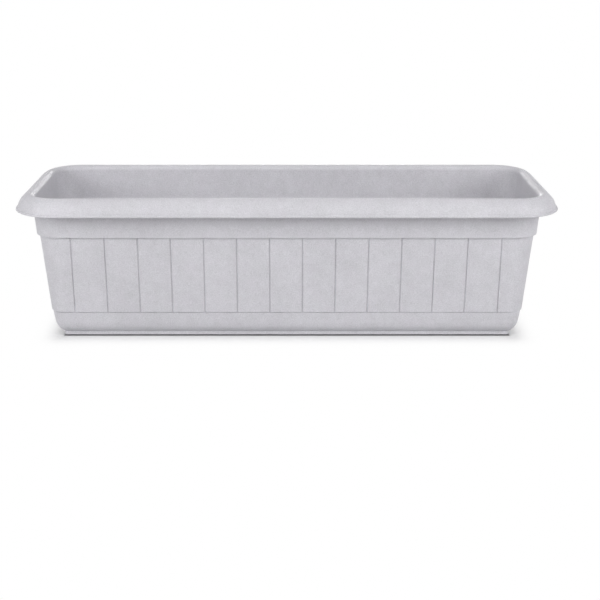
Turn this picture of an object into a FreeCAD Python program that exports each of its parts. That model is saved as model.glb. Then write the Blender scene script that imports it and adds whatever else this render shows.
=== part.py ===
import FreeCAD, Part
import math
import os

# Window box planter: a moulded trough with a rolled rim, imitation planks and a raised floor,
# standing on a shallow drip tray, with a push-in plug in each drain hole.
# Millimetres. The origin is on the ground under the middle of the box, +X along its length,
# -Y towards the front and +Z up. An inset is a distance in from the edge of the rim.

# --- driving dimensions ---
LENGTH = 600.0
DEPTH = 210.0
HEIGHT = 168.0
CORNER = 49.5               # corner radius of the rim, about whose axis every wall turns
WALL = 3.2                  # wall of the trough
TRAY_WALL = 2.0
TRAY_STEP = 5.9             # height of the part of the tray that shows below the trough

# --- rim: a roll that stands out past the wall and hangs down to a beaded lip ---
CREST_INSET = 15.0
CREST_RADIUS = 3.6          # the roll over the crest, towards the outside
CREST_TURN = 30.0           # degrees, how far that roll turns before the long flank
INNER_ROLL = 6.4            # the roll into the trough
BEAD_TOP = (1.3, HEIGHT - 15.5)
BEAD_SLOPE = 0.8            # the bead is bevelled above and below
LIP_HEIGHT = HEIGHT - 18.3
LIP_WALL = 4.0              # through the bead
ROOF_SHOULDER = (8.4, HEIGHT - 9.0)
ROOF_WALL = 3.2

# --- outside of the body, each level an inset and a height ---
BAND_DRAFT = 0.078          # millimetres in for each millimetre down
BAND_BOTTOM = (21.2, HEIGHT - 45.6)
PLANK_TOP = (24.4, HEIGHT - 46.1)
PLANK_BOTTOM = (33.1, HEIGHT - 135.2)
BASE_TOP = (34.4, HEIGHT - 135.6)
BASE_BOTTOM = (36.1, HEIGHT - 147.5)
FOOT_INSET = 46.1
EDGE = 0.7                  # chamfer on the lower edge of the band and of the planks

# --- inside of the body ---
LEDGE = 3.0                 # height of the sloping ledge behind each step
GUTTER = TRAY_STEP + WALL   # floor of the gutter round the raised floor
GUTTER_BEVEL = 3.2

# --- plank grooves ---
GROOVE_WIDTH = 1.7
GROOVE_FLOOR = 0.7
GROOVE_DEPTH = 1.4
GROOVE_OVERCUT = 1.0
FRONT_GROOVES = 14
FRONT_PITCH = 36.4
FRONT_END_GROOVE = 237.3    # the panels next to the ends are a little wider
END_GROOVES = 4
END_PITCH = 34.0

# --- raised floor with its drain holes and ribs ---
RISER_INSET = 56.5          # where the floor turns up, on the underside
RISER_DRAFT = 1.0
RISER_RADIUS = 8.0
RECESS_TOP = 13.0
FLOOR_WALL = 3.0
FLOOR_TOP = RECESS_TOP + FLOOR_WALL
DRAIN_RADIUS = 7.0
DRAIN_COUNT = 4
DRAIN_PITCH = 120.0
RIB_COUNT = 5
RIB_PITCH = 108.0
RIB_THICKNESS = 2.0
RIB_DEPTH = 4.0
RIB_END_GAP = 6.0           # the ribs stop short of the tray's upstand

# --- drip tray ---
TRAY_EDGE = 0.5             # chamfer on the top edge of the plinth
SKIRT_LIFT = 1.6            # the plinth stops short of the ground, and the well stands on it
UPSTAND_GAP = 1.0           # between the upstand and the riser of the trough's floor
UPSTAND_TOP = 11.0
UPSTAND_RADIUS = 7.0
TRAY_RIB_COUNT = 7
TRAY_RIB_PITCH = 68.0
TRAY_RIB_WIDTH = 3.0
TRAY_RIB_HEIGHT = 1.2
TRAY_RIB_END_GAP = 8.0

# --- drain plugs ---
PLUG_GAP = 0.05             # radial, the stem in its hole
PLUG_FLANGE_RADIUS = 11.5
PLUG_FLANGE = 2.0
PLUG_STEM = 6.0             # below the flange
TAB_LENGTH = 13.0
TAB_THICKNESS = 2.6
TAB_HEIGHT = 7.0
TAB_BEVEL = 2.5

UP = FreeCAD.Vector(0, 0, 1)
ORIGIN = FreeCAD.Vector(0, 0, 0)


class Section:
    """A closed outline of lines and arcs, in insets and heights, across one wall."""

    def __init__(self, start):
        self.start = start
        self.here = start
        self.edges = []
        self.heading = None

    def line(self, end):
        self.edges.append((self.here, None, end))
        self.heading = math.atan2(end[1] - self.here[1], end[0] - self.here[0])
        self.here = end
        return self

    def arc(self, through, end):
        self.edges.append((self.here, through, end))
        self.heading = None
        self.here = end
        return self

    def bend(self, end, heading=None):
        """Arc to the end, leaving along the last edge or along a given heading."""
        leave = self.heading if heading is None else heading
        chord = math.atan2(end[1] - self.here[1], end[0] - self.here[0])
        half = math.remainder(chord - leave, 2 * math.pi)
        length = math.dist(self.here, end)
        rise = length / 2 * math.tan(half / 2)
        middle = (
            (self.here[0] + end[0]) / 2 + rise * math.sin(chord),
            (self.here[1] + end[1]) / 2 - rise * math.cos(chord),
        )
        self.arc(middle, end)
        self.heading = chord + half
        return self

    def face(self, place):
        """The closed face, with each point put in space by place(inset, height)."""
        self.line(self.start)
        edges = []
        for begin, through, end in self.edges:
            if math.dist(begin, end) < 1e-6:
                continue
            if through is None:
                edges.append(Part.LineSegment(place(*begin), place(*end)).toShape())
            else:
                edges.append(Part.Arc(place(*begin), place(*through), place(*end)).toShape())
        return Part.Face(Part.Wire(edges))


def band_inset(height):
    """Inset of the wall's outer face above the lower edge of the band."""
    return BAND_BOTTOM[0] - BAND_DRAFT * (height - BAND_BOTTOM[1])


def rim_outside(section):
    """Over the crest, down the flank, round the bead and up under the roof to the wall."""
    turn = math.radians(CREST_TURN)
    shoulder = (
        CREST_INSET - CREST_RADIUS * math.sin(turn),
        HEIGHT - CREST_RADIUS * (1 - math.cos(turn)),
    )
    section.bend(shoulder, heading=math.pi)
    section.bend(BEAD_TOP)
    section.line((0, BEAD_TOP[1] - BEAD_SLOPE)).line((0, LIP_HEIGHT + BEAD_SLOPE))
    section.line((BEAD_SLOPE, LIP_HEIGHT)).line((LIP_WALL, LIP_HEIGHT))
    section.line((LIP_WALL, BEAD_TOP[1])).line(ROOF_SHOULDER)
    roof = HEIGHT - ROOF_WALL
    section.line((CREST_INSET, roof)).line((band_inset(roof), roof))


def step(section, edge, back):
    """A chamfered lower edge, and the underside that runs back to the next level down."""
    section.line((edge[0], edge[1] + EDGE)).line((edge[0] + EDGE, edge[1])).line(back)


def trough_section():
    """Rim, stepped bands, rounded foot, gutter floor and the inside of the wall."""
    section = Section((CREST_INSET, HEIGHT))
    rim_outside(section)
    step(section, BAND_BOTTOM, PLANK_TOP)
    step(section, PLANK_BOTTOM, BASE_TOP)
    section.line(BASE_BOTTOM)
    section.bend((FOOT_INSET, TRAY_STEP))
    section.line((CORNER, TRAY_STEP)).line((CORNER, GUTTER))
    section.line((FOOT_INSET + WALL / 2, GUTTER))
    section.line((BASE_BOTTOM[0] + WALL + GUTTER_BEVEL, GUTTER + GUTTER_BEVEL))
    section.line((BASE_BOTTOM[0] + WALL, BASE_BOTTOM[1] + WALL))
    section.line((PLANK_BOTTOM[0] + WALL, PLANK_BOTTOM[1] + LEDGE))
    section.line((PLANK_TOP[0] + WALL, PLANK_TOP[1] + LEDGE))
    section.line((BAND_BOTTOM[0] + WALL, BAND_BOTTOM[1] + 2 * LEDGE))
    section.line((CREST_INSET + INNER_ROLL, HEIGHT - INNER_ROLL))
    section.bend((CREST_INSET, HEIGHT), heading=math.pi / 2)
    return section


def carry(section, axis_inset=CORNER):
    """The section carried round the box, turning about an upright axis in each corner."""
    pieces = []
    for quarter in range(4):
        sides = [LENGTH / 2, DEPTH / 2]
        along, out = sides if quarter % 2 == 0 else sides[::-1]
        corner = FreeCAD.Vector(along - axis_inset, axis_inset - out, 0)
        face = section.face(
            lambda inset, height: FreeCAD.Vector(corner.x, inset - out, height)
        )
        run = face.extrude(FreeCAD.Vector(-2 * corner.x, 0, 0))
        turn = face.revolve(corner, UP, 90)
        for piece in (run, turn):
            piece.rotate(ORIGIN, UP, 90 * quarter)
            pieces.append(piece)
    return pieces


def plate(inset, low, high):
    """A plain plate that fills the box in from one inset."""
    return box_about(LENGTH - 2 * inset, DEPTH - 2 * inset, low, high)


def tapered_block(low_inset, high_inset, radius, low, high):
    """A block with rounded corners and a draft, wider at one end."""
    axis = max(low_inset, high_inset) + radius
    section = Section((axis, low))
    section.line((low_inset, low)).line((high_inset, high)).line((axis, high))
    return plate(axis, low, high).fuse(carry(section, axis))


def box_about(length, width, low, high, x=0.0):
    """A box centred on a place along the middle, between two heights."""
    corner = FreeCAD.Vector(x - length / 2, -width / 2, low)
    return Part.makeBox(length, width, high - low, corner)


def spread(count, pitch):
    """Evenly spaced places about the middle."""
    return [(index - (count - 1) / 2) * pitch for index in range(count)]


def groove(place, along_front):
    """One groove between two planks, following the draft of the wall."""
    low, high = BASE_TOP[1], PLANK_TOP[1]
    drift = (PLANK_TOP[0] - PLANK_BOTTOM[0]) / (PLANK_TOP[1] - PLANK_BOTTOM[1])
    start = PLANK_BOTTOM[0] + drift * (low - PLANK_BOTTOM[1])
    edge = -(DEPTH if along_front else LENGTH) / 2
    flare = (GROOVE_WIDTH - GROOVE_FLOOR) / 2 / GROOVE_DEPTH
    mouth = GROOVE_WIDTH / 2 + flare * GROOVE_OVERCUT
    outline = [
        (place - mouth, start - GROOVE_OVERCUT),
        (place - GROOVE_FLOOR / 2, start + GROOVE_DEPTH),
        (place + GROOVE_FLOOR / 2, start + GROOVE_DEPTH),
        (place + mouth, start - GROOVE_OVERCUT),
    ]
    corners = [FreeCAD.Vector(x, edge + inset, low) for x, inset in outline]
    face = Part.Face(Part.makePolygon(corners + corners[:1]))
    rise = high - low
    return face.extrude(FreeCAD.Vector(0, drift * rise, rise))


def grooves():
    """The grooves of all four sides."""
    front = spread(FRONT_GROOVES, FRONT_PITCH)
    front[0], front[-1] = -FRONT_END_GROOVE, FRONT_END_GROOVE
    ends = spread(END_GROOVES, END_PITCH)
    cutters = []
    for quarter in range(4):
        along_front = quarter % 2 == 0
        for place in front if along_front else ends:
            cutter = groove(place, along_front)
            cutter.rotate(ORIGIN, UP, 90 * quarter)
            cutters.append(cutter)
    return cutters


def raised_floor():
    """The floor's raised middle as a full block, and the recess under it."""
    high_inset = RISER_INSET + RISER_DRAFT
    block = tapered_block(
        RISER_INSET - FLOOR_WALL, high_inset - FLOOR_WALL, RISER_RADIUS + FLOOR_WALL,
        TRAY_STEP, FLOOR_TOP,
    )
    recess = tapered_block(RISER_INSET, high_inset, RISER_RADIUS, TRAY_STEP, RECESS_TOP)
    return block, recess


def floor_ribs():
    """Stiffening ribs across the recess."""
    width = DEPTH - 2 * (RISER_INSET + RISER_DRAFT + RIB_END_GAP)
    return [
        box_about(RIB_THICKNESS, width, RECESS_TOP - RIB_DEPTH, RECESS_TOP, x)
        for x in spread(RIB_COUNT, RIB_PITCH)
    ]


def drain_holes():
    """One cutter for each drain hole."""
    return [
        Part.makeCylinder(DRAIN_RADIUS, 2 * FLOOR_WALL, FreeCAD.Vector(x, 0, RECESS_TOP - 1))
        for x in spread(DRAIN_COUNT, DRAIN_PITCH)
    ]


def trough():
    """The moulded box."""
    pieces = carry(trough_section())
    floor = plate(CORNER, TRAY_STEP, TRAY_STEP + WALL)
    block, recess = raised_floor()
    body = floor.fuse(pieces + [block])
    body = body.cut(recess)
    body = body.fuse(floor_ribs())
    body = body.cut(drain_holes() + grooves())
    return body.removeSplitter()


def tray_section():
    """The tray's plinth and the edge of the shelf that the trough stands on."""
    shelf = TRAY_STEP - TRAY_WALL
    section = Section((FOOT_INSET, SKIRT_LIFT))
    section.line((FOOT_INSET, TRAY_STEP - TRAY_EDGE))
    section.line((FOOT_INSET + TRAY_EDGE, TRAY_STEP))
    section.line((CORNER, TRAY_STEP)).line((CORNER, shelf))
    section.line((FOOT_INSET + TRAY_WALL, shelf)).line((FOOT_INSET + TRAY_WALL, SKIRT_LIFT))
    return section


def drip_tray():
    """Plinth, shelf that the trough stands on, upstand and well."""
    upstand = RISER_INSET + UPSTAND_GAP
    block = tapered_block(upstand, upstand + RISER_DRAFT, UPSTAND_RADIUS, 0.0, UPSTAND_TOP)
    well = tapered_block(
        upstand + RISER_DRAFT + TRAY_WALL, upstand + TRAY_WALL,
        UPSTAND_RADIUS - TRAY_WALL, TRAY_WALL, UPSTAND_TOP,
    )
    shelf = plate(CORNER, TRAY_STEP - TRAY_WALL, TRAY_STEP)
    body = shelf.fuse(carry(tray_section()) + [block])
    body = body.cut(well)
    width = DEPTH - 2 * (upstand + RISER_DRAFT + TRAY_WALL + TRAY_RIB_END_GAP)
    ribs = [
        box_about(TRAY_RIB_WIDTH, width, TRAY_WALL / 2, TRAY_WALL + TRAY_RIB_HEIGHT, x)
        for x in spread(TRAY_RIB_COUNT, TRAY_RIB_PITCH)
    ]
    return body.fuse(ribs).removeSplitter()


def drain_plug(x):
    """A stem through the floor, a flange that lies on it and a tab to pull."""
    bottom, top = FLOOR_TOP - PLUG_STEM, FLOOR_TOP + PLUG_FLANGE
    centre = FreeCAD.Vector(x, 0, bottom)
    stem = Part.makeCylinder(DRAIN_RADIUS - PLUG_GAP, PLUG_STEM, centre)
    centre.z = FLOOR_TOP
    flange = Part.makeCylinder(PLUG_FLANGE_RADIUS, PLUG_FLANGE, centre)
    tab = box_about(TAB_LENGTH, TAB_THICKNESS, top, top + TAB_HEIGHT, x)
    shoulders = [
        edge for edge in tab.Edges
        if edge.BoundBox.ZMin > top + TAB_HEIGHT / 2 and abs(edge.CenterOfMass.x - x) > 1
    ]
    tab = tab.makeChamfer(TAB_BEVEL, shoulders)
    return stem.fuse([flange, tab]).removeSplitter()


def export(name, shape):
    """Write one piece, as a single solid, and say what it is."""
    solids = shape.Solids
    if len(solids) != 1 or not shape.isValid():
        raise ValueError(f"{name}: {len(solids)} solids, valid {shape.isValid()}")
    solids[0].exportStep(os.path.join("parts", name + ".step"))
    print(f"{name}: {len(shape.Faces)} faces, {shape.Volume / 1000:.1f} cm3")


os.makedirs("parts", exist_ok=True)
export("trough", trough())
export("drip_tray", drip_tray())
for number, hole in enumerate(spread(DRAIN_COUNT, DRAIN_PITCH), start=1):
    export(f"drain_plug_{number}", drain_plug(hole))
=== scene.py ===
import math

import bmesh
import bpy
from mathutils import Euler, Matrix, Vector


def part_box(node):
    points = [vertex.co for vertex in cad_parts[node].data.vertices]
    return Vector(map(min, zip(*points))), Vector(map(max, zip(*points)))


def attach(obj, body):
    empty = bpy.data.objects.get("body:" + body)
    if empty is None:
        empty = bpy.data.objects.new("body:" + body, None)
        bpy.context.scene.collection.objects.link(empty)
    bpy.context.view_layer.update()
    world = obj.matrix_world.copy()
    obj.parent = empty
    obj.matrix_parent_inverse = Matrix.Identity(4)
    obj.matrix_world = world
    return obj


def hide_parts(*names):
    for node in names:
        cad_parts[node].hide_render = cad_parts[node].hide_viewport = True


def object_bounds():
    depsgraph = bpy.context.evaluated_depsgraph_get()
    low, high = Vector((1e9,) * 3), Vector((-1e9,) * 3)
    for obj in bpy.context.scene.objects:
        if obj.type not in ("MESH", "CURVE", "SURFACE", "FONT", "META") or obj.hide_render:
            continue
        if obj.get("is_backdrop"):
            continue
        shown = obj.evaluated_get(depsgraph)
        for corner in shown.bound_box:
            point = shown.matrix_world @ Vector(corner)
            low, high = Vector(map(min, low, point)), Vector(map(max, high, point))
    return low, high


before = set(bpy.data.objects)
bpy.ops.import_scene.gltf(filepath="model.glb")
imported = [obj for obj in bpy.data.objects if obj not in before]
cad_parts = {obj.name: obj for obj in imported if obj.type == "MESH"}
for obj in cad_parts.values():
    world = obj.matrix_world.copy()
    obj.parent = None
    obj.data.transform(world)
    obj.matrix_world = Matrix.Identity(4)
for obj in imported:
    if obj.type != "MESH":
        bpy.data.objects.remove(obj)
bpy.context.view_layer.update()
mm = 0.001
_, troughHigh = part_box("trough")
rimHalf = (troughHigh.x, troughHigh.y)       # half the rim's length and depth
print("frame loaded:", sorted(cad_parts))


# node building: a wire is one socket that takes part in sums, a graph adds the nodes

class Wire:
    def __init__(self, graph, socket):
        self.graph = graph
        self.socket = socket

    def __add__(self, other):
        return self.graph.maths("ADD", self, other)

    def __sub__(self, other):
        return self.graph.maths("SUBTRACT", self, other)

    def __rsub__(self, other):
        return self.graph.maths("SUBTRACT", other, self)

    def __mul__(self, other):
        return self.graph.maths("MULTIPLY", self, other)

    def __truediv__(self, other):
        return self.graph.maths("DIVIDE", self, other)

    __radd__ = __add__
    __rmul__ = __mul__


class Graph:
    def __init__(self, tree):
        self.tree = tree
        self.tree.nodes.clear()

    def add(self, kind, settings, sockets, out=0):
        # settings come first, because they decide which sockets there are
        node = self.tree.nodes.new(kind)
        for name, value in settings.items():
            setattr(node, name, value)
        for key, value in sockets.items():
            if isinstance(key, str):
                key = next(i for i, s in enumerate(node.inputs) if s.enabled and s.name == key)
            if isinstance(value, Wire):
                self.tree.links.new(value.socket, node.inputs[key])
            else:
                node.inputs[key].default_value = value
        if isinstance(out, tuple):
            return [Wire(self, node.outputs[name]) for name in out]
        if isinstance(out, str):
            return Wire(self, next(s for s in node.outputs if s.enabled and s.name == out))
        return Wire(self, node.outputs[out]) if node.outputs else None

    def maths(self, operation, first, second=0.0, clamp=False):
        settings = {"operation": operation, "use_clamp": clamp}
        return self.add("ShaderNodeMath", settings, {0: first, 1: second})

    def vectors(self, operation, *values):
        return self.add("ShaderNodeVectorMath", {"operation": operation}, dict(enumerate(values)))

    def mix(self, kind, share, first, second):
        sockets = {"Factor": share, "A": first, "B": second}
        return self.add("ShaderNodeMix", {"data_type": kind}, sockets, "Result")


# materials

def grey(level, tint=0.0):
    # leans to violet: the tint raises the blue, and a fifth of it lowers the green
    return (level, level * (1 - 0.2 * tint), level * (1 + tint), 1.0)


def stoneEffect(name, look):
    # pale plastic with the cloudy mottling, soft blotches and fine speckle of moulded stone effect
    material = bpy.data.materials.new(name)
    material.use_nodes = True
    graph = Graph(material.node_tree)
    place = graph.add("ShaderNodeTexCoord", {}, {}, "Object")
    place = graph.add("ShaderNodeMapping", {}, {"Vector": place, "Location": look["shift"]})

    def noise(size, detail, roughness=0.5):
        # about -1 to 1 round zero, with features of a size in millimetres
        sockets = {"Vector": place, "Scale": 1 / (size * mm), "Detail": detail, "Roughness": roughness}
        return (graph.add("ShaderNodeTexNoise", {}, sockets, "Fac") - 0.5) * 2

    clouds = noise(look["cloudSize"], detail=3.0)
    blotches = noise(look["blotchSize"], detail=2.0)
    grain = noise(look["grainSize"], detail=2.0, roughness=0.6)
    flecks = noise(look["fleckSize"], detail=1.0) - look["fleckRarity"]
    flecks = graph.maths("MULTIPLY", flecks, look["fleckEdge"], clamp=True)
    flush = noise(look["flushSize"], detail=2.0) + look["flushSpread"]
    flush = graph.maths("MULTIPLY", flush, look["flush"], clamp=True)
    shade = clouds * look["clouds"] + blotches * look["blotches"] + grain * look["grain"]
    shade = graph.maths("ADD", shade, 0.5, clamp=True)         # from halfway between dark and pale
    colour = graph.mix("RGBA", shade, look["dark"], look["pale"])
    colour = graph.mix("RGBA", flecks * look["flecks"], colour, look["fleck"])
    colour = graph.mix("RGBA", flush, colour, look["rosy"])
    roughness = look["roughness"] + blotches * look["roughnessSwing"] + grain * look["roughnessSwing"]
    bumps = grain * look["grainBump"] + blotches * look["blotchBump"]
    normal = graph.add("ShaderNodeBump", {}, {"Distance": mm, "Height": bumps})
    sockets = {"Base Color": colour, "Roughness": roughness, "Normal": normal, "IOR": look["ior"]}
    shader = graph.add("ShaderNodeBsdfPrincipled", {}, sockets)
    graph.add("ShaderNodeOutputMaterial", {}, {"Surface": shader})
    return material


stoneLook = {
    "pale": grey(0.72, 0.045),
    "dark": grey(0.46, 0.045),
    "fleck": grey(0.30, 0.04),
    "rosy": (0.64, 0.56, 0.66, 1.0),
    "shift": (0.0, 0.0, 0.0),   # moves the pattern, so that no two kinds of piece match
    # sizes in millimetres of what varies, from large to small
    "cloudSize": 55.0,
    "flushSize": 16.0,
    "blotchSize": 9.0,
    "fleckSize": 1.9,
    "grainSize": 1.15,
    # how strongly each shows
    "clouds": 0.22,
    "flush": 0.14,
    "flushSpread": 0.3,         # higher: the rosy tint covers more
    "blotches": 0.17,
    "flecks": 0.12,
    "fleckRarity": 0.30,        # higher: fewer flecks
    "fleckEdge": 6.0,           # higher: sharper flecks
    "grain": 0.62,
    "roughness": 0.52,
    "roughnessSwing": 0.06,
    "grainBump": 0.05,          # millimetres
    "blotchBump": 0.08,
    "ior": 1.48,
}
trayLook = stoneLook | {"shift": (0.31, 0.17, 0.05), "roughness": 0.5}
plugLook = stoneLook | {
    "pale": grey(0.30, 0.04),
    "dark": grey(0.22, 0.04),
    "fleck": grey(0.16, 0.04),
    "flush": 0.0,
    "flecks": 0.2,
    "shift": (0.12, 0.4, 0.2),
    "roughness": 0.46,
    "grainBump": 0.03,
}
stonePlastic = stoneEffect("stoneEffectPlastic", stoneLook)
trayPlastic = stoneEffect("trayPlastic", trayLook)
plugPlastic = stoneEffect("plugPlastic", plugLook)
print("materials ready")


# Geometry Nodes: one section carried round the rim's plan, and a row of copies

def newTree(name, inputs):
    tree = bpy.data.node_groups.new(name, "GeometryNodeTree")
    for label, kind in inputs.items():
        tree.interface.new_socket(label, in_out="INPUT", socket_type="NodeSocket" + kind)
    tree.interface.new_socket("Geometry", in_out="OUTPUT", socket_type="NodeSocketGeometry")
    graph = Graph(tree)
    return tree, graph, graph.add("NodeGroupInput", {}, {}, tuple(inputs))


def carriedSection():
    # a grid whose columns stand round the plan and whose rows run along the section
    tree, graph, wires = newTree("carriedSection", {
        "Columns": "Object", "Rows": "Object", "Corner Axis": "Float", "Inner Axis": "Float",
        "Groove Depth": "Float", "Groove Limit": "Float", "Material": "Material"})
    columns, rows, cornerAxis, innerAxis, depth, limit, material = wires
    plan = graph.add("GeometryNodeObjectInfo", {}, {"Object": columns}, "Geometry")
    section = graph.add("GeometryNodeObjectInfo", {}, {"Object": rows}, "Geometry")
    columnCount = graph.add("GeometryNodeAttributeDomainSize", {}, {"Geometry": plan})
    rowCount = graph.add("GeometryNodeAttributeDomainSize", {}, {"Geometry": section})
    grid = graph.add("GeometryNodeMeshGrid", {}, {"Vertices X": columnCount, "Vertices Y": rowCount})
    index = graph.add("GeometryNodeInputIndex", {}, {})
    column = graph.maths("FLOOR", (index + 0.5) / rowCount)
    row = index - column * rowCount

    def sample(source, at, kind, name):
        # a value that one of the guides holds, read at a column or a row
        value = graph.add("GeometryNodeInputNamedAttribute", {"data_type": kind}, {"Name": name})
        sockets = {"Geometry": source, "Value": value, "Index": at}
        return graph.add("GeometryNodeSampleIndex", {"data_type": kind}, sockets)

    corner = sample(plan, column, "FLOAT_VECTOR", "corner")
    innerCorner = sample(plan, column, "FLOAT_VECTOR", "innerCorner")
    outward = sample(plan, column, "FLOAT_VECTOR", "outward")
    cut = sample(plan, column, "FLOAT", "cut")
    inset = sample(section, row, "FLOAT", "inset")
    height = sample(section, row, "FLOAT", "height")
    inner = sample(section, row, "FLOAT", "inner")
    planked = sample(section, row, "FLOAT", "planked")
    # no groove cuts further in than the limit, so it runs out where the wall comes near it
    room = graph.maths("MAXIMUM", limit - inset, 0.0)
    inset = inset + graph.maths("MINIMUM", cut * planked * depth, room)
    reach = cornerAxis + inner * (innerAxis - cornerAxis) - inset
    centre = graph.mix("VECTOR", inner, corner, innerCorner)
    rise = graph.add("ShaderNodeCombineXYZ", {}, {"Z": height})
    place = graph.vectors("ADD", graph.vectors("MULTIPLY_ADD", outward, reach, centre), rise)
    shell = graph.add("GeometryNodeSetPosition", {}, {"Geometry": grid, "Position": place})
    # the last column lies on the first
    shell = graph.add("GeometryNodeMergeByDistance", {}, {"Geometry": shell, "Distance": 0.002 * mm})
    shell = graph.add("GeometryNodeSetShadeSmooth", {}, {"Geometry": shell})
    shell = graph.add("GeometryNodeRealizeInstances", {}, {"Geometry": shell})
    shell = graph.add("GeometryNodeSetMaterial", {}, {"Geometry": shell, "Material": material})
    graph.add("NodeGroupOutput", {}, {0: shell})
    return tree


def evenRow():
    # copies of one piece, evenly spaced along X about the middle
    tree, graph, wires = newTree("evenRow", {
        "Piece": "Object", "Count": "Int", "Pitch": "Float", "Material": "Material"})
    piece, count, pitch, material = wires
    pattern = graph.add("GeometryNodeObjectInfo", {}, {"Object": piece}, "Geometry")
    step = graph.add("ShaderNodeCombineXYZ", {}, {"X": pitch})
    start = graph.add("ShaderNodeCombineXYZ", {}, {"X": (1 - count) * pitch * 0.5})
    sockets = {"Count": count, "Start Location": start, "Offset": step}
    line = graph.add("GeometryNodeMeshLine", {}, sockets)
    copies = graph.add("GeometryNodeInstanceOnPoints", {}, {"Points": line, "Instance": pattern})
    copies = graph.add("GeometryNodeRealizeInstances", {}, {"Geometry": copies})
    copies = graph.add("GeometryNodeSetMaterial", {}, {"Geometry": copies, "Material": material})
    graph.add("NodeGroupOutput", {}, {0: copies})
    return tree


def newObject(name, data):
    made = bpy.data.objects.new(name, data)
    bpy.context.scene.collection.objects.link(made)
    return made


def discard(made):
    bpy.data.objects.remove(made)


def fromTree(name, tree, values):
    # the tree's result as a plain mesh, with the modifier gone
    made = newObject(name, bpy.data.meshes.new(name))
    modifier = made.modifiers.new(tree.name, "NODES")
    modifier.node_group = tree
    for item in tree.interface.items_tree:
        if item.in_out == "INPUT":
            modifier[item.identifier] = values[item.name]
    made.update_tag()
    evaluated = made.evaluated_get(bpy.context.evaluated_depsgraph_get())
    mesh = bpy.data.meshes.new_from_object(evaluated)
    made.modifiers.clear()
    made.data = mesh
    mesh.name = name
    # one material for all of it, so that faces added later have it too
    mesh.materials.clear()
    mesh.materials.append(values["Material"])
    mesh.polygons.foreach_set("material_index", [0] * len(mesh.polygons))
    return made


def guide(name, columns):
    # a mesh of loose points that holds named values for the trees
    mesh = bpy.data.meshes.new(name)
    count = len(next(iter(columns.values())))
    mesh.from_pydata([(0, 0, 0)] * count, [], [])
    for label, values in columns.items():
        isVector = isinstance(values[0], Vector)
        attribute = mesh.attributes.new(label, "FLOAT_VECTOR" if isVector else "FLOAT", "POINT")
        for slot, value in zip(attribute.data, values):
            if isVector:
                slot.vector = value
            else:
                slot.value = value
    return newObject(name, mesh)


sectionLook = {
    "hold": 0.4,                # millimetres from an arc to the row that keeps its flat flat
    "holdRoom": 3,              # a flat has such rows where it is longer than this many holds
    "largeRadius": 3.0,
    "largeStep": 8,             # degrees from row to row in a large arc
    "smallStep": 17,
}


def sectionRows(corners, hold=sectionLook["hold"]):
    # points along the section, with an arc round each corner, in millimetres
    places = [Vector(place) for place, _, _ in corners]
    ways = [(after - here).normalized() for here, after in zip(places, places[1:])]
    turns = [0.0] + [first.angle(second) for first, second in zip(ways, ways[1:])] + [0.0]
    reaches = [radius * math.tan(turn / 2) for (_, radius, _), turn in zip(corners, turns)]
    room = hold * sectionLook["holdRoom"]
    rows = []
    for index, (_, radius, kind) in enumerate(corners):
        here, reach, turn = places[index], reaches[index], turns[index]
        if radius == 0:
            rows.append((here, kind))
            continue
        before, after = -ways[index - 1], ways[index]
        centre = here + (before + after).normalized() * radius / math.cos(turn / 2)
        start, end = here + before * reach, here + after * reach
        stepKey = "largeStep" if radius > sectionLook["largeRadius"] else "smallStep"
        steps = max(2, math.ceil(turn / math.radians(sectionLook[stepKey])))
        if (places[index - 1] - here).length - reaches[index - 1] - reach > room:
            rows.append((start + before * hold, kind))
        for step in range(steps + 1):
            spoke = (start - centre).slerp(end - centre, step / steps).normalized()
            rows.append((centre + spoke * radius, kind))
        if (places[index + 1] - here).length - reaches[index + 1] - reach > room:
            rows.append((end + after * hold, kind))
    return rows


# how far a row follows the grooves between the planks: the seam under them closes at each groove
plankShare = {"planked": 1.0, "seam": -0.7}


def rowGuide(name, corners):
    rows = sectionRows(corners)
    return guide(name, {
        "inset": [place.x * mm for place, kind in rows],
        "height": [place.y * mm for place, kind in rows],
        "inner": [float(kind == "inner") for place, kind in rows],
        "planked": [plankShare.get(kind, 0.0) for place, kind in rows],
    })


planLook = {
    "cornerAxis": 49.5,         # the axis that the outer walls turn about, in from the rim's edge
    "innerAxis": 65.5,          # the axis of the raised floor's corners
    "cornerSteps": 18,
    "hold": 1.5,                # from a corner to the column that keeps its side flat
}


def planColumns(longGrooves, endGrooves, profile):
    # columns round the plan, from the front left corner and back to it
    axis, innerAxis, hold = (planLook[key] * mm for key in ("cornerAxis", "innerAxis", "hold"))
    columns = []
    for side in range(4):
        turned = Euler((0, 0, side * math.pi / 2)).to_matrix()
        along, outward = turned @ Vector((1, 0, 0)), turned @ Vector((0, -1, 0))
        isLong = side % 2 == 0
        halfLength, halfDepth = rimHalf if isLong else rimHalf[::-1]
        run, innerRun = halfLength - axis, halfLength - innerAxis
        line, innerLine = outward * (halfDepth - axis), outward * (halfDepth - innerAxis)
        squeeze = innerRun / run
        places = [(-run, 0.0), (-run + hold, 0.0)]
        for centre in longGrooves if isLong else endGrooves:
            places += [((centre + offset) * mm, cut) for offset, cut in profile]
        places += [(run - hold, 0.0)]
        for place, cut in places:
            columns.append((along * place + line, along * place * squeeze + innerLine, outward, cut))
        for step in range(planLook["cornerSteps"]):
            spoke = outward.copy()
            spoke.rotate(Euler((0, 0, math.pi / 2 * step / planLook["cornerSteps"])))
            columns.append((along * run + line, along * innerRun + innerLine, spoke, 0.0))
    columns.append(columns[0])
    return dict(zip(("corner", "innerCorner", "outward", "cut"), zip(*columns)))


sectionTree = carriedSection()
rowTree = evenRow()
print("node trees ready")


# mesh helpers

def ringOf(mesh, radius, height, centre, steps=48):
    ring = []
    for step in range(steps):
        angle = 2 * math.pi * step / steps
        place = Vector((radius * math.cos(angle), radius * math.sin(angle), height)) * mm
        ring.append(mesh.verts.new(centre + place))
    return ring


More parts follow.
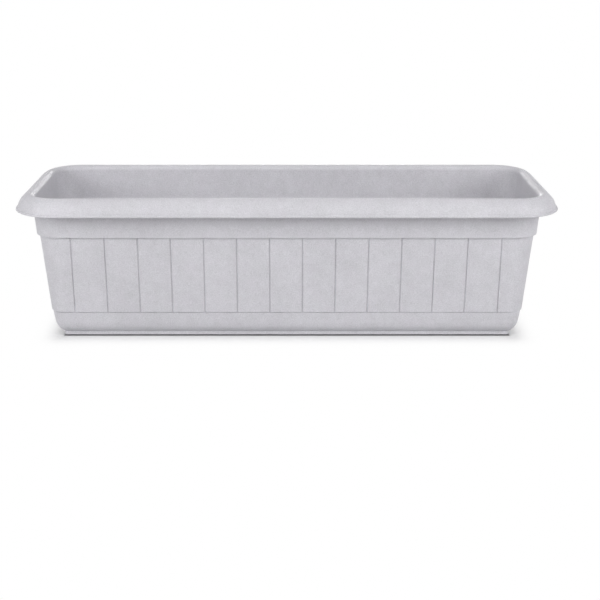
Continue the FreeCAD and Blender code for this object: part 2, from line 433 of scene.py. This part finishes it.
def bridge(mesh, first, second):
    count = len(first)
    for step in range(count):
        after = (step + 1) % count
        mesh.faces.new((first[step], first[after], second[after], second[step]))


def turnedRings(mesh, rows, centre):
    rings = [ringOf(mesh, place.x, place.y, centre) for place, kind in rows]
    for first, second in zip(rings, rings[1:]):
        bridge(mesh, first, second)
    return rings


def fillEnds(mesh, corners):
    # flat caps at the heights where the section starts and ends, with any holes left open
    near = 0.01 * mm
    for (_, height), _, _ in (corners[0], corners[-1]):
        edges = [
            edge for edge in mesh.edges
            if edge.is_boundary and all(abs(v.co.z - height * mm) < near for v in edge.verts)
        ]
        bmesh.ops.triangle_fill(mesh, edges=edges, use_beauty=True)


def soften(mesh, edges, radius):
    offset = radius * mm
    bmesh.ops.bevel(mesh, geom=edges, offset=offset, segments=3, affect="EDGES", profile=0.5)


def settle(mesh, made):
    # outward faces, smooth shading and the mesh back on its object
    bmesh.ops.recalc_face_normals(mesh, faces=mesh.faces)
    for face in mesh.faces:
        face.smooth = True
    mesh.to_mesh(made.data)
    mesh.free()
    return made


def roundedBar(name, size, top, radius):
    # a bar with soft edges, centred along the middle, its top at a height
    mesh = bmesh.new()
    bmesh.ops.create_cube(mesh, size=1.0)
    length, width, height = size
    for vertex in mesh.verts:
        vertex.co.x *= length * mm
        vertex.co.y *= width * mm
        vertex.co.z = (top + (vertex.co.z - 0.5) * height) * mm
    soften(mesh, mesh.edges[:], radius)
    return settle(mesh, newObject(name, bpy.data.meshes.new(name)))


def makeRibs(name, look, material):
    pattern = roundedBar(name + "Pattern", look["ribSize"], look["ribTop"], look["ribRadius"])
    ribs = fromTree(name, rowTree, {
        "Piece": pattern, "Count": look["ribs"], "Pitch": look["ribPitch"] * mm,
        "Material": material})
    discard(pattern)
    return ribs


def carrySection(name, plan, corners, material, depth=0.0, limit=0.0):
    # a shell that is still open where its section starts and ends
    columns = guide(name + "Columns", plan)
    rows = rowGuide(name + "Rows", corners)
    shell = fromTree(name, sectionTree, {
        "Columns": columns, "Rows": rows, "Material": material,
        "Corner Axis": planLook["cornerAxis"] * mm, "Inner Axis": planLook["innerAxis"] * mm,
        "Groove Depth": depth * mm, "Groove Limit": limit * mm})
    discard(columns)
    discard(rows)
    return shell


# trough: the moulded box, its section as corners (inset, height) with a radius in millimetres

troughShape = {
    "section": [
        ((61.5, 13.0), 0, "inner"),              # ceiling of the recess
        ((57.5, 13.0), 1.2, "inner"),
        ((56.5, 5.9), 0.8, "inner"),
        ((46.1, 5.9), 0.5, ""),                  # the flat that stands on the tray
        ((37.5, 10.72), 18.5, ""),               # rounded foot
        ((34.4, 31.3), 0.3, ""),
        ((35.2, 32.0), 0.2, "seam"),
        ((33.1, 32.7), 0.5, "planked"),          # lower ends of the planks
        ((24.4, 121.7), 0.4, "planked"),         # upper ends of the planks
        ((21.2, 122.1), 0.4, ""),                # lower edge of the band
        ((17.9, 164.8), 1.2, ""),                # the band meets the underside of the rim
        ((15.0, 164.8), 3.0, ""),
        ((8.4, 159.0), 3.0, ""),
        ((4.0, 152.5), 2.0, ""),
        ((4.0, 150.3), 0.6, ""),
        ((0.0, 150.1), 0.5, ""),                 # bead round the lip
        ((0.0, 152.0), 0.9, ""),
        ((1.9, 152.7), 0.5, ""),
        ((3.53, 161.94), 19.5, ""),              # flank of the rim
        ((14.03, 168.0), 3.6, ""),               # crest
        ((20.8, 168.0), 6.2, ""),                # roll into the trough
        ((24.4, 128.4), 6.0, ""),                # ledge behind the band
        ((27.6, 124.9), 5.0, ""),
        ((36.3, 35.8), 12.0, ""),
        ((43.45, 9.1), 5.0, ""),                 # gutter round the raised floor
        ((53.8, 9.1), 1.5, "inner"),
        ((54.5, 16.0), 1.5, "inner"),
        ((58.5, 16.0), 0, "inner"),              # top of the raised floor
    ],
    "frontGrooves": 14,
    "frontPitch": 36.4,
    "outermostGroove": 237.3,
    "frontShift": -0.8,         # the grooves aren't quite in the middle of the long sides
    "endGrooves": 4,
    "endPitch": 34.0,
    "grooveDepth": 1.12,
    "grooveLimit": 34.3,
    # half of a groove: distance from its middle, and share of its depth
    "grooveProfile": [(0.0, 1.0), (0.3, 0.92), (0.54, 0.42), (0.78, 0.08), (1.05, 0.0)],
    "drainHoles": 4,
    "drainPitch": 120.0,
    # corners (radius, height) of the hole's wall
    "drainSection": [
        ((8.6, 16.0), 0, ""),
        ((7.0, 16.0), 0.5, ""),
        ((7.0, 13.0), 0.5, ""),
        ((8.6, 13.0), 0, ""),
    ],
    "ribs": 5,
    "ribPitch": 108.0,
    "ribSize": (2.0, 83.0, 4.4),
    "ribTop": 13.4,
    "ribRadius": 0.5,
}


def spread(count, pitch):
    return [(index - (count - 1) / 2) * pitch for index in range(count)]


def makeTrough():
    look = troughShape
    front = spread(look["frontGrooves"], look["frontPitch"])
    front[0], front[-1] = -look["outermostGroove"], look["outermostGroove"]
    front = [place + look["frontShift"] for place in front]
    ends = spread(look["endGrooves"], look["endPitch"])
    half = look["grooveProfile"]
    profile = [(-offset, cut) for offset, cut in half[:0:-1]] + half
    made = carrySection(
        "troughShell", planColumns(front, ends, profile), look["section"], stonePlastic,
        look["grooveDepth"], look["grooveLimit"])
    mesh = bmesh.new()
    mesh.from_mesh(made.data)
    for x in spread(look["drainHoles"], look["drainPitch"]):
        turnedRings(mesh, sectionRows(look["drainSection"]), Vector((x * mm, 0, 0)))
    fillEnds(mesh, look["section"])
    return settle(mesh, made)


troughShell = makeTrough()
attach(troughShell, "trough")
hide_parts("trough")

floorRibs = makeRibs("floorRibs", troughShape, stonePlastic)
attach(floorRibs, "trough")
print("trough:", len(troughShell.data.polygons), "faces")


# drip tray: plinth, shelf that the trough stands on, upstand and well

trayShape = {
    "section": [
        ((65.0, 2.0), 0, "inner"),               # floor of the well
        ((60.5, 2.0), 1.0, "inner"),
        ((59.5, 11.0), 0.7, "inner"),            # top of the upstand
        ((58.5, 11.0), 0.3, "inner"),
        ((58.04, 5.9), 0.8, "inner"),            # shelf
        ((46.1, 5.9), 1.2, ""),                  # edge of the plinth
        ((46.1, 1.3), 0.5, ""),
        ((48.1, 1.3), 0.5, ""),
        ((48.1, 3.9), 0.8, ""),                  # underside of the shelf
        ((57.85, 3.9), 0.8, "inner"),
        ((57.5, 0.0), 0.5, "inner"),
        ((65.0, 0.0), 0, "inner"),               # underside of the well
    ],
    "ribs": 7,
    "ribPitch": 68.0,
    "ribSize": (3.0, 73.0, 1.6),
    "ribTop": 3.2,
    "ribRadius": 0.5,
}


def makeTray():
    section = trayShape["section"]
    made = carrySection("trayShell", planColumns([], [], []), section, trayPlastic)
    mesh = bmesh.new()
    mesh.from_mesh(made.data)
    fillEnds(mesh, section)
    return settle(mesh, made)


trayShell = makeTray()
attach(trayShell, "drip_tray")
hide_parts("drip_tray")

trayRibs = makeRibs("trayRibs", trayShape, trayPlastic)
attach(trayRibs, "drip_tray")
print("drip tray:", len(trayShell.data.polygons), "faces")


# drain plugs: a stem through the floor, a flange that lies on it and a tab to pull

plugShape = {
    # corners (radius, height) of the turned part, with the radius of each rounding
    "section": [
        ((0.5, 10.0), 0, ""),
        ((6.93, 10.0), 0.8, ""),
        ((6.93, 16.0), 0.2, ""),
        ((11.5, 16.0), 0.3, ""),
        ((11.5, 18.0), 0.8, ""),
        ((0.5, 18.0), 0, ""),
    ],
    "sectionHold": 0.3,
    "tabOutline": [
        (-6.5, 17.5), (6.5, 17.5), (6.5, 22.5), (4.0, 25.0), (-4.0, 25.0), (-6.5, 22.5),
    ],
    "tabThickness": 2.6,
    "tabRadius": 0.6,
}


def addTab(mesh, place):
    half = plugShape["tabThickness"] / 2
    start = len(mesh.verts)
    back, front = (
        [mesh.verts.new(place + Vector((x, y, z)) * mm) for x, z in plugShape["tabOutline"]]
        for y in (half, -half)
    )
    mesh.faces.new(back)
    mesh.faces.new(front[::-1])
    bridge(mesh, back, front)
    mesh.verts.ensure_lookup_table()
    tab = set(mesh.verts[start:])
    soften(mesh, [edge for edge in mesh.edges if tab.issuperset(edge.verts)], plugShape["tabRadius"])


def makePlug(name, place):
    mesh = bmesh.new()
    rows = sectionRows(plugShape["section"], plugShape["sectionHold"])
    rings = turnedRings(mesh, rows, place)
    mesh.faces.new(rings[0])
    mesh.faces.new(rings[-1])
    addTab(mesh, place)
    made = newObject(name, bpy.data.meshes.new(name))
    made.data.materials.append(plugPlastic)
    return settle(mesh, made)


for number in range(1, troughShape["drainHoles"] + 1):
    node = f"drain_plug_{number}"
    low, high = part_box(node)
    plug = makePlug(f"drainPlug{number}", Vector(((low.x + high.x) / 2, 0, 0)))
    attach(plug, node)
    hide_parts(node)
print("drain plugs ready")


# studio: pale floor, soft light, camera

studio = {
    "floorSize": 30.0,
    "floorBounce": 0.78,        # what the floor gives back to the object
    "floorSeen": 0.98,          # what the camera sees of it close to the box
    "footHalf": (0.254, 0.059),  # half the length and depth that the shadow starts from, metres
    "shadowReach": 0.0185,      # metres over which the shadow fades into white
    "endFade": 1.2,             # how much sooner it fades beyond the box's ends
    "paintedShadowLineReach": 0.0012,     # the painted shadow line on the floor where the box stands, metres it reaches
    "paintedShadowLineShade": 0.75,
    "worldLight": 0.12,
    # place, size and watts of each soft box
    "softBoxes": {
        "front": ((0.0, -2.6, 2.0), (2.6, 1.4), 12.0),
        "above": ((0.0, 0.0, 3.0), (2.5, 2.0), 18.5),
        "left": ((-1.3, -1.1, 1.3), (0.7, 0.7), 6.8),
        "right": ((1.3, -1.1, 1.3), (0.7, 0.7), 6.8),
        "leftLow": ((-1.5, -1.2, 0.66), (0.6, 0.6), 11.6),
        "rightLow": ((1.5, -1.2, 0.66), (0.6, 0.6), 11.6),
        "back": ((0.0, 2.4, 2.2), (2.4, 1.2), 4.0),
        "backLow": ((0.0, 2.6, 0.38), (1.0, 0.6), 19.0),
    },
}


def seenStraight(graph):
    # 1 for what the camera, a reflection or a view through glass shows,
    # 0 for light that falls on things
    kinds = ("Is Camera Ray", "Is Glossy Ray", "Is Transmission Ray")
    camera, glossy, through = graph.add("ShaderNodeLightPath", {}, {}, kinds)
    return graph.maths("MAXIMUM", camera, graph.maths("MAXIMUM", glossy, through))


def makeFloor():
    half = studio["floorSize"] / 2
    mesh = bpy.data.meshes.new("floor")
    corners = [(-half, -half, 0), (half, -half, 0), (half, half, 0), (-half, half, 0)]
    mesh.from_pydata(corners, [], [(0, 1, 2, 3)])
    floor = newObject("floor", mesh)
    material = bpy.data.materials.new("paleFloor")
    material.use_nodes = True
    graph = Graph(material.node_tree)
    seen = seenStraight(graph)
    place = graph.add("ShaderNodeTexCoord", {}, {}, "Object")
    beyond = graph.vectors("SUBTRACT", graph.vectors("ABSOLUTE", place), (*studio["footHalf"], 0))
    beyond = graph.vectors("MAXIMUM", beyond, (0, 0, 0))
    beyond = graph.vectors("MULTIPLY", beyond, (studio["endFade"], 1, 1))
    distance = graph.add("ShaderNodeVectorMath", {"operation": "LENGTH"}, {0: beyond}, "Value")
    share = distance * (1 / studio["shadowReach"])
    fade = 1 - graph.maths("EXPONENT", share * share * -1)
    # painted shadow: close to the box's foot, the floor colour the camera sees is mixed towards black,
    # a dark line where the box stands
    paintedShadowLine = graph.maths("EXPONENT", distance * (-1 / studio["paintedShadowLineReach"])) * studio["paintedShadowLineShade"]
    bounce, pale, paintedShadowColour = grey(studio["floorBounce"]), grey(studio["floorSeen"]), grey(0.0)
    pale = graph.mix("RGBA", paintedShadowLine, pale, paintedShadowColour)
    lit = graph.add("ShaderNodeBsdfDiffuse", {}, {"Color": graph.mix("RGBA", seen, bounce, pale)})
    white = graph.add("ShaderNodeEmission", {}, {"Color": (1, 1, 1, 1), "Strength": 1.0})
    shader = graph.add("ShaderNodeMixShader", {}, {0: seen * fade, 1: lit, 2: white})
    graph.add("ShaderNodeOutputMaterial", {}, {"Surface": shader})
    mesh.materials.append(material)
    floor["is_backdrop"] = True


def makeWorld():
    world = bpy.data.worlds.new("studio")
    bpy.context.scene.world = world
    world.use_nodes = True
    graph = Graph(world.node_tree)
    seen = seenStraight(graph)
    strength = seen + (1 - seen) * studio["worldLight"]
    shader = graph.add("ShaderNodeBackground", {}, {"Color": (1, 1, 1, 1), "Strength": strength})
    graph.add("ShaderNodeOutputWorld", {}, {"Surface": shader})


def softBox(name, place, size, power):
    lamp = bpy.data.lights.new(name, "AREA")
    lamp.shape = "RECTANGLE"
    lamp.size, lamp.size_y = size
    lamp.energy = power
    made = newObject(name, lamp)
    made.location = place
    target = Vector((0, 0, troughHigh.z / 2))
    made.rotation_euler = (target - made.location).to_track_quat("-Z", "Y").to_euler()


makeFloor()
makeWorld()
for name, (place, size, power) in studio["softBoxes"].items():
    softBox(name, place, size, power)
print("studio ready")

cameraLook = {
    "distance": 1.329,          # in front of the middle of the box, metres
    "height": 0.462,
    "pitch": 15.9,              # degrees down
    "focalPixels": 1178.8,
    "pictureSize": 600,
    "middle": (286.8, 251.25),  # pixel that the lens looks straight at
    "sensor": 36.0,             # millimetres
}


def makeCamera():
    look = cameraLook
    lens = bpy.data.cameras.new("camera")
    lens.sensor_width = look["sensor"]
    lens.lens = look["sensor"] * look["focalPixels"] / look["pictureSize"]
    half = look["pictureSize"] / 2
    lens.shift_x = (half - look["middle"][0]) / look["pictureSize"]
    lens.shift_y = (look["middle"][1] - half) / look["pictureSize"]
    camera = newObject("camera", lens)
    camera.location = (0, -look["distance"], look["height"])
    camera.rotation_euler = (math.radians(90 - look["pitch"]), 0, 0)
    bpy.context.scene.camera = camera


makeCamera()
bpy.context.scene.view_settings.view_transform = "Standard"

low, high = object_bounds()
